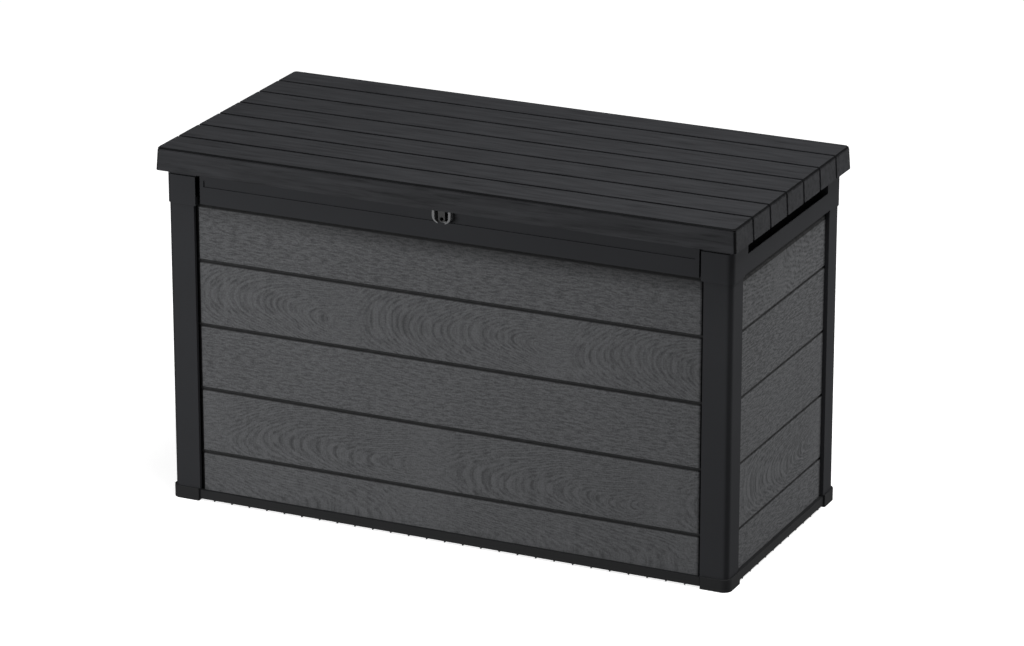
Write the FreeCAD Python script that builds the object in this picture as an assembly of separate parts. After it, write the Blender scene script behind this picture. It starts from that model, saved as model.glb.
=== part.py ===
"""Deck storage box with a hinged plank lid, in millimetres.

+Z is up, the front faces -Y and +X is to the right as seen from the front.
The origin is on the ground, in the middle of the box's outline.
"""

import FreeCAD, Part
import math
import os

V = FreeCAD.Vector

# Overall size of the closed box.
LID_HALF_X = 751.0
LID_HALF_Y = 360.0
TOTAL_HEIGHT = 900.0

# How far cutting shapes reach past what they cut.
CUT_PAST = 1.0

# Corner posts and the walls between them.
POST_HALF_X = 733.0
POST_HALF_Y = 334.0
POST_FRONT_WIDTH = 71.0
POST_SIDE_WIDTH = 65.0
POST_CORNER_RADIUS = 16.0
POST_WALL = 4.0
POST_BOTTOM = 10.0
POST_TOP = 757.5
LEG_DEPTH_FRONT = 10.0
LEG_DEPTH_SIDE = 10.0
CAPTURE_FRONT = 18.0
CAPTURE_SIDE = 18.0
INNER_LIP = 6.0
SIDE_LIP = 9.0
LIP_OVERLAP = 6.0

PANEL_THICKNESS = 14.0
PANEL_SKIN = 3.0
PANEL_BOTTOM = 14.0
PANEL_TOP = 775.0
PANEL_RIB = 2.5
PANEL_RIB_PITCH = 170.0
PLANK_FIRST_JOINT = 126.0
PLANK_PITCH = 163.5
PLANK_JOINTS = 4
JOINT_DEPTH = 3.0
JOINT_HEIGHT_FRONT = 11.0
JOINT_HEIGHT_SIDE = 8.0
JOINT_BACKING = 18.0
JOINT_BACKING_DEPTH = 3.0
TOP_LIP_FRONT = 755.0
TOP_LIP_SIDE = 744.5
TOP_LIP_RISE = 4.0
END_REVEAL = 8.0

FACE_Y = POST_HALF_Y - LEG_DEPTH_FRONT
FACE_X = POST_HALF_X - LEG_DEPTH_SIDE
WALL_IN_Y = FACE_Y - PANEL_THICKNESS - INNER_LIP
WALL_IN_X = FACE_X - PANEL_THICKNESS - SIDE_LIP
PANEL_HALF_X = POST_HALF_X - POST_FRONT_WIDTH + CAPTURE_FRONT
PANEL_HALF_Y = POST_HALF_Y - POST_SIDE_WIDTH + CAPTURE_SIDE
LIP_END_X = PANEL_HALF_X - CAPTURE_FRONT + LIP_OVERLAP
LIP_END_Y = PANEL_HALF_Y - CAPTURE_SIDE + LIP_OVERLAP
POST_IN_X = FACE_X - PANEL_THICKNESS - INNER_LIP

# Base tray and feet.
TRAY_GAP = 0.5
TRAY_EDGE_X = POST_HALF_X - POST_FRONT_WIDTH - TRAY_GAP
TRAY_EDGE_Y = POST_HALF_Y - POST_SIDE_WIDTH - TRAY_GAP
TRAY_TOP = 27.5
TRAY_SKIRT_BOTTOM = 5.0
TRAY_FLOOR = 14.0
TRAY_FLOOR_THICKNESS = 3.0
TRAY_WALL = 4.0
TRAY_RIB = 3.0
TRAY_RIB_BOTTOM = 2.0
TRAY_RIB_PITCH = 144.0
TRAY_TOOTH_PITCH = 48.0
TRAY_TOOTH_DEPTH = 20.0
TRAY_FLOOR_HALF_Y = WALL_IN_Y - 2.0
FOOT_PROUD = 5.0
FOOT_HEIGHT = 32.0
FOOT_EDGE_X = POST_HALF_X - POST_FRONT_WIDTH + 2.0
FOOT_EDGE_Y = POST_HALF_Y - POST_SIDE_WIDTH

# Rim of the box: rails on the walls and blocks on the corners.
RIM_TOP = 852.0
RAIL_BOTTOM = 762.0
RAIL_WALL = 3.0
RAIL_SHELF = 779.0
RAIL_FACE_Y = 328.0
RAIL_HALF_X = 648.0
REVEAL_DEPTH = 12.0
BLOCK_PROUD = 3.0
BLOCK_HALF_X = POST_HALF_X + BLOCK_PROUD
BLOCK_HALF_Y = POST_HALF_Y + BLOCK_PROUD
BLOCK_EDGE_X = 656.0
BLOCK_EDGE_Y = 265.0
BLOCK_STEP = 830.5
BLOCK_STEP_DEPTH = 6.0
INSET_HALF_X = 638.0
INSET_BOTTOM = 805.4
INSET_TOP = 822.0
INSET_DEPTH = 3.0
INSET_BACKING_MARGIN = 4.0
POCKET_HALF_Y = 248.0
POCKET_LIP = 808.6

# Lid.
LID_BOTTOM = 843.0
LID_SHOULDER = 896.5
LID_DRAFT = 3.0
LID_CHAMFER = 3.5
LID_CORNER_RADIUS = 9.0
LID_WALL = 3.2
LID_GROOVES = 6
LID_GROOVE_FIRST = -253.5
LID_GROOVE_PITCH = 103.3
LID_GROOVE_WIDTH = 10.5
LID_GROOVE_DEPTH = 5.0
LID_BACKING_WIDTH = 18.0
LID_BACKING_BOTTOM = 891.0
LID_END_BACKING = 4.0
EDGE_LINE_LOW = 893.4
EDGE_LINE_HIGH = 896.6
EDGE_LINE_DEPTH = 1.2
LINER_BOTTOM = 856.0
LINER_SHEET = 2.5
LINER_HALF_X = 742.5
LINER_HALF_Y = 355.0
LINER_RIB = 2.5
LINER_CROSS_RIBS = 9
RIB_REACH = LINER_HALF_X - 6.0

# Hinges.
HINGE_Y = 342.0
HINGE_Z = 838.0
HINGE_PLACES = {"left": -480.0, "middle": 0.0, "right": 480.0}
HINGE_HALF_WIDTH = 45.0
KNUCKLE_RADIUS = 7.0
KNUCKLE_OUTER = 42.0
KNUCKLE_SPLIT = 18.0
KNUCKLE_CLEARANCE = 0.5
PIN_RADIUS = 3.0
RUNNING_CLEARANCE = 0.06
LEAF = 3.0
LEAF_BOTTOM = 786.0
LEAF_TOP = HINGE_Z + 4.0
KNUCKLE_WEB_BOTTOM = HINGE_Z - 6.0
LID_WEB_FRONT = HINGE_Y - 4.0
LID_WEB_REAR = HINGE_Y + 5.0
PIN_HEAD = 2.0
LEAF_SCREW_X = 32.0
LEAF_SEAT = 1.0
LEAF_SCREW_HEIGHTS = (796.0, 816.0)
LID_LEAF_FRONT = 334.0
LID_LEAF_REAR = 350.0

# Gas struts: both pivots are the same distance from the hinge axis, so a strut
# always turns through half the lid's angle.
STRUT_X = 685.0
STRUT_REACH = 260.0
WALL_PIVOT_BACK = 100.0
WALL_PIVOT_DROP = 240.0
STRUT_LEAN = math.degrees(math.atan2(STRUT_REACH - WALL_PIVOT_BACK, WALL_PIVOT_DROP))
WALL_PIVOT = V(0, HINGE_Y - WALL_PIVOT_BACK, HINGE_Z - WALL_PIVOT_DROP)
LID_PIVOT = V(0, HINGE_Y - STRUT_REACH, HINGE_Z)
EYE_RADIUS = 9.0
EYE_HALF_WIDTH = 5.0
EYE_SHOULDER = 1.0
NECK_RADIUS = 5.5
STRUT_PIN_RADIUS = 4.0
TUBE_RADIUS = 11.0
TUBE_BORE = 9.0
TUBE_START = 16.0
TUBE_FLOOR = 20.0
TUBE_GLAND = 240.0
TUBE_END = 246.0
ROD_RADIUS = 4.0
ROD_START = 18.0
ROD_END = 267.5
ROD_CLEARANCE = 0.1
PISTON_RADIUS = 8.7
PISTON_LENGTH = 8.0
BRACKET = 4.0
BRACKET_GAP = 2.0
BRACKET_INNER_X = STRUT_X + EYE_HALF_WIDTH + BRACKET_GAP
STRUT_PIN_END = 1.0
WALL_PLATE_HALF = (14.0, 22.0)
WALL_SCREW_STEP = 15.0
WALL_BOSS_HALF = (20.0, 24.0)
LID_WEB_HALF = 13.0
LID_WEB_DROP = 11.0
FLANGE_HALF = 20.0
FLANGE_REACH = 26.0
FLANGE_SCREW_REACH = 17.0
FLANGE_SCREW_STEP = 12.0

# Lock.
PADLOCK_Z = 817.0
PADLOCK_HOLE = 5.0
GUARD_HALF_WIDTH = 24.0
GUARD_ARM = 6.0
GUARD_BOTTOM = 806.0
GUARD_TOP = 850.0
GUARD_FRONT = 342.0
GUARD_RADIUS = 18.0
GUARD_SILL = 3.0
GUARD_SILL_FRONT = 331.0
GUARD_SILL_HALF = 9.0
STAPLE_HALF_WIDTH = 9.0
STAPLE_FRONT = 334.0
STAPLE_LOW = PADLOCK_Z - 7.0
STAPLE_HIGH = PADLOCK_Z + 22.0
LOCK_WINDOW = (PADLOCK_Z - 8.0, PADLOCK_Z + 16.0)
HASP_FRONT = 340.0
HASP_HALF_WIDTH = 9.0
HASP_LOW = PADLOCK_Z - 7.2
HASP_END_RADIUS = 7.5
HASP_FLANGE_HALF = 20.0
HASP_FLANGE_FRONT = 349.0
HASP_SCREW_X = 14.0
HASP_SCREW_Y = 345.5
LOCK_PLATE = 3.0
LOCK_SCREW_X = 21.0
LOCK_SCREW_Z = 838.0

# Screws and pads.
SCREW_HEAD_RADIUS = 4.0
SCREW_HEAD = 2.0
SCREW_SHANK_RADIUS = 2.0
SCREW_LENGTH = 10.0
PAD_RADIUS = 8.0
PAD_GAP = 0.3
RAIL_PAD_PLACES = (-560.0, -200.0, 200.0, 560.0)
CORNER_PAD_X = 718.0
CORNER_PAD_Y = 290.0

X_AXIS = V(1, 0, 0)
Y_AXIS = V(0, 1, 0)
Z_AXIS = V(0, 0, 1)
ORIGIN = V(0, 0, 0)


def box(x0, x1, y0, y1, z0, z1):
    """A block between two opposite corners."""
    return Part.makeBox(x1 - x0, y1 - y0, z1 - z0, V(x0, y0, z0))


def rod(start, direction, radius, length):
    """A solid cylinder."""
    return Part.makeCylinder(radius, length, start, direction)


def fused(shapes):
    """One solid out of touching shapes."""
    return shapes[0].multiFuse(shapes[1:]).removeSplitter()


def group(shapes):
    """Separate solids kept together."""
    return Part.makeCompound(shapes)


def outline(points, radii=None):
    """A closed outline through points; radii maps a point's index to its corner radius."""
    radii = radii or {}
    edges = []
    count = len(points)
    starts, ends, arcs = [], [], []
    for i, point in enumerate(points):
        radius = radii.get(i, 0.0)
        back = (points[i - 1] - point).normalize()
        ahead = (points[(i + 1) % count] - point).normalize()
        half_turn = back.getAngle(ahead) / 2
        if radius:
            reach = radius / math.tan(half_turn)
            centre = point + (back + ahead).normalize() * (radius / math.sin(half_turn))
            starts.append(point + back * reach)
            ends.append(point + ahead * reach)
            arcs.append(centre + (point - centre).normalize() * radius)
        else:
            starts.append(point)
            ends.append(point)
            arcs.append(None)
    for i in range(count):
        if arcs[i] is not None:
            edges.append(Part.Arc(starts[i], arcs[i], ends[i]).toShape())
        edges.append(Part.makeLine(ends[i], starts[(i + 1) % count]))
    return Part.Wire(edges)


def prism(points, direction, radii=None):
    """The outline's face pushed along direction."""
    return Part.Face(outline(points, radii)).extrude(direction)


def upright(points, z0, z1, radii=None):
    """A plan outline of (x, y) points between two heights."""
    return prism([V(x, y, z0) for x, y in points], V(0, 0, z1 - z0), radii)


def along_x(points, x0, x1):
    """A section of (y, z) points drawn out along X."""
    return prism([V(x0, y, z) for y, z in points], V(x1 - x0, 0, 0))


def facing_y(points, y0, y1, radii=None):
    """An outline of (x, z) points between two depths."""
    return prism([V(x, y0, z) for x, z in points], V(0, y1 - y0, 0), radii)


def flipped_x(shape):
    """The shape on the other side, left for right."""
    return shape.mirror(ORIGIN, X_AXIS)


def flipped_y(shape):
    """The shape at the other end, front for rear."""
    return shape.mirror(ORIGIN, Y_AXIS)


def save(name, shape):
    """Writes one sub-part."""
    shape.exportStep("parts/" + name + ".step")


def screw(seat, direction):
    """A pan-head screw whose head sits on seat and whose shank goes along direction."""
    head = rod(seat, direction * -1, SCREW_HEAD_RADIUS, SCREW_HEAD)
    shank = rod(seat, direction, SCREW_SHANK_RADIUS, SCREW_LENGTH)
    return fused([head, shank])


def screw_hole(seat, direction):
    """The hole that a screw's shank fills."""
    return rod(seat, direction, SCREW_SHANK_RADIUS, SCREW_LENGTH)


def drilled(shape, seats, direction):
    """The shape with the holes of the screws at those seats."""
    return shape.cut(group([screw_hole(seat, direction) for seat in seats]))


# Where the screws go: each list holds the seats under the screw heads.


def body_leaf_seats(place):
    """Screws through a hinge's body leaf, pointing forward into the rear rail."""
    seats = []
    for side in (-1, 1):
        for height in LEAF_SCREW_HEIGHTS:
            seats.append(V(place + side * LEAF_SCREW_X, RAIL_FACE_Y + LEAF, height))
    return seats


def lid_leaf_seats(place):
    """Screws through a hinge's lid leaf, pointing up into the liner."""
    height = LINER_BOTTOM - LEAF
    return [V(place + side * LEAF_SCREW_X, HINGE_Y + LEAF_SEAT, height) for side in (-1, 1)]


def wall_bracket_seats():
    """Screws through the right wall bracket, pointing out into the side wall."""
    x = FACE_X - PANEL_THICKNESS - BRACKET
    return [V(x, WALL_PIVOT.y, WALL_PIVOT.z + side * WALL_SCREW_STEP) for side in (-1, 1)]


def lid_bracket_seats():
    """Screws through the right lid bracket's flange, pointing up into the liner."""
    height = LINER_BOTTOM - LEAF
    x = STRUT_X - FLANGE_SCREW_REACH
    return [V(x, LID_PIVOT.y + side * FLANGE_SCREW_STEP, height) for side in (-1, 1)]


def hasp_seats():
    """Screws through the hasp's flange, pointing up into the liner."""
    height = LINER_BOTTOM - LEAF
    return [V(side * HASP_SCREW_X, -HASP_SCREW_Y, height) for side in (-1, 1)]


def guard_seats():
    """Screws through the front rail's wall from inside it, pointing forward into the guard."""
    depth = -(RAIL_FACE_Y - RAIL_WALL)
    return [V(side * LOCK_SCREW_X, depth, LOCK_SCREW_Z) for side in (-1, 1)]


# Structure of the box.


def corner_post():
    """The front right post: an L with a groove for each wall and a hollow core."""
    x_in = POST_HALF_X - POST_FRONT_WIDTH
    y_in = POST_HALF_Y - POST_SIDE_WIDTH
    back_y = FACE_Y - PANEL_THICKNESS
    back_x = FACE_X - PANEL_THICKNESS
    section = [
        (x_in, -POST_HALF_Y),
        (POST_HALF_X, -POST_HALF_Y),
        (POST_HALF_X, -y_in),
        (FACE_X, -y_in),
        (FACE_X, -PANEL_HALF_Y),
        (back_x, -PANEL_HALF_Y),
        (back_x, -LIP_END_Y),
        (POST_IN_X, -LIP_END_Y),
        (POST_IN_X, -WALL_IN_Y),
        (LIP_END_X, -WALL_IN_Y),
        (LIP_END_X, -back_y),
        (PANEL_HALF_X, -back_y),
        (PANEL_HALF_X, -FACE_Y),
        (x_in, -FACE_Y),
    ]
    core = [
        (x_in + POST_WALL, -(POST_HALF_Y - POST_WALL)),
        (POST_HALF_X - POST_WALL, -(POST_HALF_Y - POST_WALL)),
        (POST_HALF_X - POST_WALL, -(PANEL_HALF_Y + POST_WALL)),
        (POST_IN_X + POST_WALL, -(PANEL_HALF_Y + POST_WALL)),
        (POST_IN_X + POST_WALL, -(WALL_IN_Y + POST_WALL)),
        (PANEL_HALF_X + POST_WALL, -(WALL_IN_Y + POST_WALL)),
        (PANEL_HALF_X + POST_WALL, -(FACE_Y + POST_WALL)),
        (x_in + POST_WALL, -(FACE_Y + POST_WALL)),
    ]
    post = upright(section, POST_BOTTOM, POST_TOP, {1: POST_CORNER_RADIUS})
    core_radius = POST_CORNER_RADIUS - POST_WALL
    return post.cut(upright(core, POST_BOTTOM, POST_TOP, {1: core_radius}))


def foot():
    """The front right foot: a cup round the post's end, with a pad under the tray."""
    outer = [
        (FOOT_EDGE_X, -(POST_HALF_Y + FOOT_PROUD)),
        (POST_HALF_X + FOOT_PROUD, -(POST_HALF_Y + FOOT_PROUD)),
        (POST_HALF_X + FOOT_PROUD, -FOOT_EDGE_Y),
        (FOOT_EDGE_X, -FOOT_EDGE_Y),
    ]
    seat = [
        (FOOT_EDGE_X - CUT_PAST, -POST_HALF_Y),
        (POST_HALF_X, -POST_HALF_Y),
        (POST_HALF_X, CUT_PAST - FOOT_EDGE_Y),
        (FOOT_EDGE_X - CUT_PAST, CUT_PAST - FOOT_EDGE_Y),
    ]
    cup = upright(outer, 0, FOOT_HEIGHT, {1: POST_CORNER_RADIUS + FOOT_PROUD})
    cup = cup.cut(upright(seat, POST_BOTTOM, FOOT_HEIGHT, {1: POST_CORNER_RADIUS}))
    pad = box(FOOT_EDGE_X, WALL_IN_X, -TRAY_FLOOR_HALF_Y, -FOOT_EDGE_Y, POST_BOTTOM, TRAY_FLOOR)
    return fused([cup, pad])


def tray_side(half_length, outer, inner, wall_outer):
    """One side of the tray's edge, along X at -Y, with the channel that holds a wall."""
    side = box(-half_length, half_length, -outer, -inner, TRAY_SKIRT_BOTTOM, TRAY_TOP)
    wall_inner = wall_outer - PANEL_THICKNESS
    channel = box(-half_length, half_length, -wall_outer, -wall_inner, PANEL_BOTTOM, TRAY_TOP)
    end = half_length - TRAY_WALL
    front = TRAY_WALL - outer
    low = box(-end, end, front, -inner - TRAY_WALL, TRAY_SKIRT_BOTTOM, TRAY_FLOOR - TRAY_WALL)
    return side.cut(group([channel, low]))


def turned_to_side(shape):
    """Turns a front piece so that it becomes a right-hand one."""
    turned = shape.copy()
    turned.rotate(ORIGIN, Z_AXIS, 90)
    return turned


def spaced(half_span, pitch):
    """Evenly spaced places within half_span of the middle."""
    count = int(half_span / pitch)
    return [i * pitch for i in range(-count, count + 1)]


def tray_teeth(half_length, outer):
    """The small rib ends that show below one side of the tray's edge, along X at -Y."""
    half = TRAY_RIB / 2
    depth = TRAY_TOOTH_DEPTH - outer
    return [
        box(x - half, x + half, -outer, depth, TRAY_RIB_BOTTOM, TRAY_FLOOR)
        for x in spaced(half_length - half, TRAY_TOOTH_PITCH)
    ]


def base_tray():
    """The floor: a sheet with a grid of ribs below it and a channelled edge."""
    floor_top = TRAY_FLOOR + TRAY_FLOOR_THICKNESS
    floor_y = TRAY_FLOOR_HALF_Y
    pieces = [box(-WALL_IN_X, WALL_IN_X, -floor_y, floor_y, TRAY_FLOOR, floor_top)]
    front = tray_side(TRAY_EDGE_X, POST_HALF_Y, floor_y, FACE_Y)
    right = turned_to_side(tray_side(TRAY_EDGE_Y, POST_HALF_X, WALL_IN_X, FACE_X))
    pieces += [front, flipped_y(front), right, flipped_x(right)]
    half = TRAY_RIB / 2
    for x in spaced(TRAY_EDGE_X, TRAY_RIB_PITCH):
        pieces.append(box(x - half, x + half, -floor_y, floor_y, TRAY_RIB_BOTTOM, TRAY_FLOOR))
    for y in spaced(TRAY_EDGE_Y, TRAY_RIB_PITCH):
        pieces.append(box(-WALL_IN_X, WALL_IN_X, y - half, y + half, TRAY_RIB_BOTTOM, TRAY_FLOOR))
    for tooth in tray_teeth(TRAY_EDGE_X, POST_HALF_Y):
        pieces += [tooth, flipped_y(tooth)]
    for tooth in tray_teeth(TRAY_EDGE_Y, POST_HALF_X):
        right_tooth = turned_to_side(tooth)
        pieces += [right_tooth, flipped_x(right_tooth)]
    return fused(pieces)


def plank_joint_heights():
    """Heights of the joints between the planks of a wall."""
    return [PLANK_FIRST_JOINT + i * PLANK_PITCH for i in range(PLANK_JOINTS)]


def top_lip(half_length, face, start):
    """What is cut from a front wall's top: a lip that slopes in, and the tongue above it."""
    floor = JOINT_DEPTH - face
    section = [
        (-face - CUT_PAST, start),
        (-face, start),
        (floor, start + TOP_LIP_RISE),
        (floor, PANEL_TOP + CUT_PAST),
        (-face - CUT_PAST, PANEL_TOP + CUT_PAST),
    ]
    return along_x(section, -half_length, half_length)


def plank_joint(half_length, face, z, joint_height):
    """What is cut at a joint: the lower plank's sloping top edge and the upper one's ledge."""
    floor = JOINT_DEPTH - face
    section = [
        (-face - CUT_PAST, z + joint_height / 2),
        (floor, z + joint_height / 2),
        (floor, z),
        (-face, z - joint_height / 2),
        (-face - CUT_PAST, z - joint_height / 2),
    ]
    return along_x(section, -half_length, half_length)


def wall_panel(half_length, face, joint_height, lip_start, reveal=0.0):
    """A front wall: five moulded planks on a skin with ribs behind."""
    back = face - PANEL_THICKNESS
    skin_back = face - PANEL_SKIN
    backing_back = skin_back - JOINT_BACKING_DEPTH
    half_rib = PANEL_RIB / 2
    inner = half_length - PANEL_RIB
    pieces = [box(-half_length, half_length, -face, -skin_back, PANEL_BOTTOM, PANEL_TOP)]
    for z in (PANEL_BOTTOM, PANEL_TOP - PANEL_RIB):
        pieces.append(box(-half_length, half_length, -skin_back, -back, z, z + PANEL_RIB))
    for side in (-1, 1):
        x = side * (half_length - half_rib)
        pieces.append(box(x - half_rib, x + half_rib, -skin_back, -back, PANEL_BOTTOM, PANEL_TOP))
    bays = round(2 * inner / PANEL_RIB_PITCH)
    for i in range(1, bays):
        x = -inner + 2 * inner * i / bays
        pieces.append(box(x - half_rib, x + half_rib, -skin_back, -back, PANEL_BOTTOM, PANEL_TOP))
    lip_backing = lip_start - JOINT_BACKING / 2
    pieces.append(box(-half_length, half_length, -skin_back, -backing_back, lip_backing, PANEL_TOP))
    cuts = [top_lip(half_length, face, lip_start)]
    for z in plank_joint_heights():
        low, high = z - JOINT_BACKING / 2, z + JOINT_BACKING / 2
        pieces.append(box(-half_length, half_length, -skin_back, -backing_back, low, high))
        cuts.append(plank_joint(half_length, face, z, joint_height))
    if reveal:
        plank_end = half_length - CAPTURE_FRONT - reveal
        start = plank_end - JOINT_BACKING_DEPTH
        for side in (-1, 1):
            x0, x1 = sorted((side * start, side * half_length))
            pieces.append(box(x0, x1, -skin_back, -backing_back, PANEL_BOTTOM, PANEL_TOP))
            x0, x1 = sorted((side * plank_end, side * half_length))
            cuts.append(box(x0, x1, -face, JOINT_DEPTH - face, PANEL_BOTTOM, PANEL_TOP))
    return fused(pieces).cut(fused(cuts)).removeSplitter()


def side_wall_panel():
    """The right-hand wall, with a boss for the gas strut's bracket."""
    panel = turned_to_side(wall_panel(PANEL_HALF_Y, FACE_X, JOINT_HEIGHT_SIDE, TOP_LIP_SIDE))
    back = FACE_X - PANEL_THICKNESS
    y, z = WALL_PIVOT.y, WALL_PIVOT.z
    half_y, half_z = WALL_BOSS_HALF
    boss = box(back, FACE_X - PANEL_SKIN, y - half_y, y + half_y, z - half_z, z + half_z)
    return drilled(fused([panel, boss]), wall_bracket_seats(), X_AXIS)


def rail_bar():
    """The front rail's plain length: a hollow bar that grips the wall, with a tongue at each end."""
    bar = box(-RAIL_HALF_X, RAIL_HALF_X, -RAIL_FACE_Y, -WALL_IN_Y, RAIL_BOTTOM, RIM_TOP)
    back = FACE_Y - PANEL_THICKNESS
    channel = box(-RAIL_HALF_X, RAIL_HALF_X, -FACE_Y, -back, RAIL_BOTTOM, PANEL_TOP)
    hollow_front = -(RAIL_FACE_Y - RAIL_WALL)
    hollow_back = -(WALL_IN_Y + RAIL_WALL)
    hollow_top = RIM_TOP - RAIL_WALL
    hollow = box(-RAIL_HALF_X, RAIL_HALF_X, hollow_front, hollow_back, RAIL_SHELF, hollow_top)
    tongue_front = REVEAL_DEPTH - RAIL_FACE_Y
    end = RAIL_HALF_X - RAIL_WALL
    tongue = box(end, BLOCK_EDGE_X, tongue_front, -WALL_IN_Y, RAIL_SHELF, RIM_TOP)
    return fused([bar.cut(group([channel, hollow])), tongue, flipped_x(tongue)])


def front_top_rail():
    """The front rail, with the long finger inset and the opening behind the lock."""
    thick_back = -(RAIL_FACE_Y - RAIL_WALL - INSET_DEPTH)
    wall_back = -(RAIL_FACE_Y - RAIL_WALL)
    half = INSET_HALF_X + INSET_BACKING_MARGIN
    low, high = INSET_BOTTOM - INSET_BACKING_MARGIN, INSET_TOP + INSET_BACKING_MARGIN
    backing = box(-half, half, wall_back, thick_back, low, high)
    inset = box(
        -INSET_HALF_X, INSET_HALF_X, -RAIL_FACE_Y, INSET_DEPTH - RAIL_FACE_Y, INSET_BOTTOM, INSET_TOP
    )
    half = STAPLE_HALF_WIDTH - LOCK_PLATE / 2
    window = box(-half, half, -RAIL_FACE_Y, thick_back, LOCK_WINDOW[0], LOCK_WINDOW[1])
    rail = fused([rail_bar(), backing]).cut(group([inset, window]))
    return drilled(rail, guard_seats(), Y_AXIS * -1)


def rear_top_rail():
    """The rear rail, drilled for the hinges."""
    rail = flipped_y(rail_bar())
    for place in HINGE_PLACES.values():
        rail = drilled(rail, body_leaf_seats(place), Y_AXIS * -1)
    return rail


def corner_block():
    """The front right block on top of a post, hollow inside and stepped back under the lid."""
    section = [
        (BLOCK_EDGE_X, -BLOCK_HALF_Y),
        (BLOCK_HALF_X, -BLOCK_HALF_Y),
        (BLOCK_HALF_X, -BLOCK_EDGE_Y),
        (WALL_IN_X, -BLOCK_EDGE_Y),
        (WALL_IN_X, -WALL_IN_Y),
        (BLOCK_EDGE_X, -WALL_IN_Y),
    ]
    block = upright(section, POST_TOP, RIM_TOP, {1: POST_CORNER_RADIUS + BLOCK_PROUD})
    back_x = FACE_X - PANEL_THICKNESS
    back_y = FACE_Y - PANEL_THICKNESS
    front_channel = box(BLOCK_EDGE_X, PANEL_HALF_X, -FACE_Y, -back_y, POST_TOP, PANEL_TOP)
    side_channel = box(back_x, FACE_X, -PANEL_HALF_Y, -BLOCK_EDGE_Y, POST_TOP, PANEL_TOP)
    hollow_plan = [
        (BLOCK_EDGE_X, RAIL_WALL - BLOCK_HALF_Y),
        (BLOCK_HALF_X - RAIL_WALL, RAIL_WALL - BLOCK_HALF_Y),
        (BLOCK_HALF_X - RAIL_WALL, -BLOCK_EDGE_Y),
        (WALL_IN_X + RAIL_WALL, -BLOCK_EDGE_Y),
        (WALL_IN_X + RAIL_WALL, -WALL_IN_Y - RAIL_WALL),
        (BLOCK_EDGE_X, -WALL_IN_Y - RAIL_WALL),
    ]
    hollow_radius = POST_CORNER_RADIUS + BLOCK_PROUD - RAIL_WALL
    hollow = upright(hollow_plan, RAIL_SHELF, BLOCK_STEP - RAIL_WALL, {1: hollow_radius})
    step_back = BLOCK_STEP_DEPTH - BLOCK_HALF_Y
    step = box(BLOCK_EDGE_X, BLOCK_HALF_X, -BLOCK_HALF_Y, step_back, BLOCK_STEP, RIM_TOP)
    return block.cut(group([front_channel, side_channel, hollow, step]))


def side_top_rail():
    """The right-hand rail: a hollow bar with a hand pocket, and a block at each end."""
    bar = box(WALL_IN_X, BLOCK_HALF_X, -BLOCK_EDGE_Y, BLOCK_EDGE_Y, RAIL_BOTTOM, RIM_TOP)
    back_x = FACE_X - PANEL_THICKNESS
    channel = box(back_x, FACE_X, -BLOCK_EDGE_Y, BLOCK_EDGE_Y, RAIL_BOTTOM, PANEL_TOP)
    inner_x = WALL_IN_X + RAIL_WALL
    outer_x = BLOCK_HALF_X - RAIL_WALL
    pocket = box(inner_x, outer_x, -POCKET_HALF_Y, POCKET_HALF_Y, RAIL_SHELF, RIM_TOP)
    mouth = box(inner_x, BLOCK_HALF_X, -POCKET_HALF_Y, POCKET_HALF_Y, POCKET_LIP, RIM_TOP)
    end_y = POCKET_HALF_Y + RAIL_WALL
    end = box(inner_x, outer_x, end_y, BLOCK_EDGE_Y, RAIL_SHELF, RIM_TOP - RAIL_WALL)
    cuts = [channel, pocket, mouth, end, flipped_y(end)]
    block = corner_block()
    return fused([bar.cut(group(cuts)), block, flipped_y(block)])


def rim_pads():
    """Soft pads on the rim that the closed lid rests on."""
    height = LINER_BOTTOM - RIM_TOP - PAD_GAP
    middle_y = (RAIL_FACE_Y + WALL_IN_Y) / 2
    pads = []
    for x in RAIL_PAD_PLACES:
        pads.append(rod(V(x, -middle_y, RIM_TOP), Z_AXIS, PAD_RADIUS, height))
    for x in (-CORNER_PAD_X, CORNER_PAD_X):
        for y in (-CORNER_PAD_Y, CORNER_PAD_Y):
            pads.append(rod(V(x, y, RIM_TOP), Z_AXIS, PAD_RADIUS, height))
    return group(pads)


# Lid.


def rounded_rectangle(half_x, half_y, radius, z):
    """A level rectangle with rounded corners."""
    corners = [V(-half_x, -half_y, z), V(half_x, -half_y, z), V(half_x, half_y, z), V(-half_x, half_y, z)]
    return outline(corners, {i: radius for i in range(4)})


def lid_form(inset, bottom):
    """The lid's outer form drawn in by inset all round and on top."""
    radius = LID_CORNER_RADIUS - inset / 2
    low_x, low_y = LID_HALF_X - inset, LID_HALF_Y - inset
    top_in = LID_DRAFT + LID_CHAMFER
    sections = [
        rounded_rectangle(low_x, low_y, radius, bottom),
        rounded_rectangle(low_x - LID_DRAFT, low_y - LID_DRAFT, radius, LID_SHOULDER - inset),
        rounded_rectangle(low_x - top_in, low_y - top_in, radius, TOTAL_HEIGHT - inset),
    ]
    return Part.makeLoft(sections, True, True)


def groove_places():
    """Depths of the grooves between the lid's planks."""
    return [LID_GROOVE_FIRST + i * LID_GROOVE_PITCH for i in range(LID_GROOVES)]


def edge_line():
    """The shallow line cut all round the lid just below its top edge."""
    outer = box(-LID_HALF_X, LID_HALF_X, -LID_HALF_Y, LID_HALF_Y, EDGE_LINE_LOW, EDGE_LINE_HIGH)
    return outer.cut(lid_form(EDGE_LINE_DEPTH, LID_BOTTOM))


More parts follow.
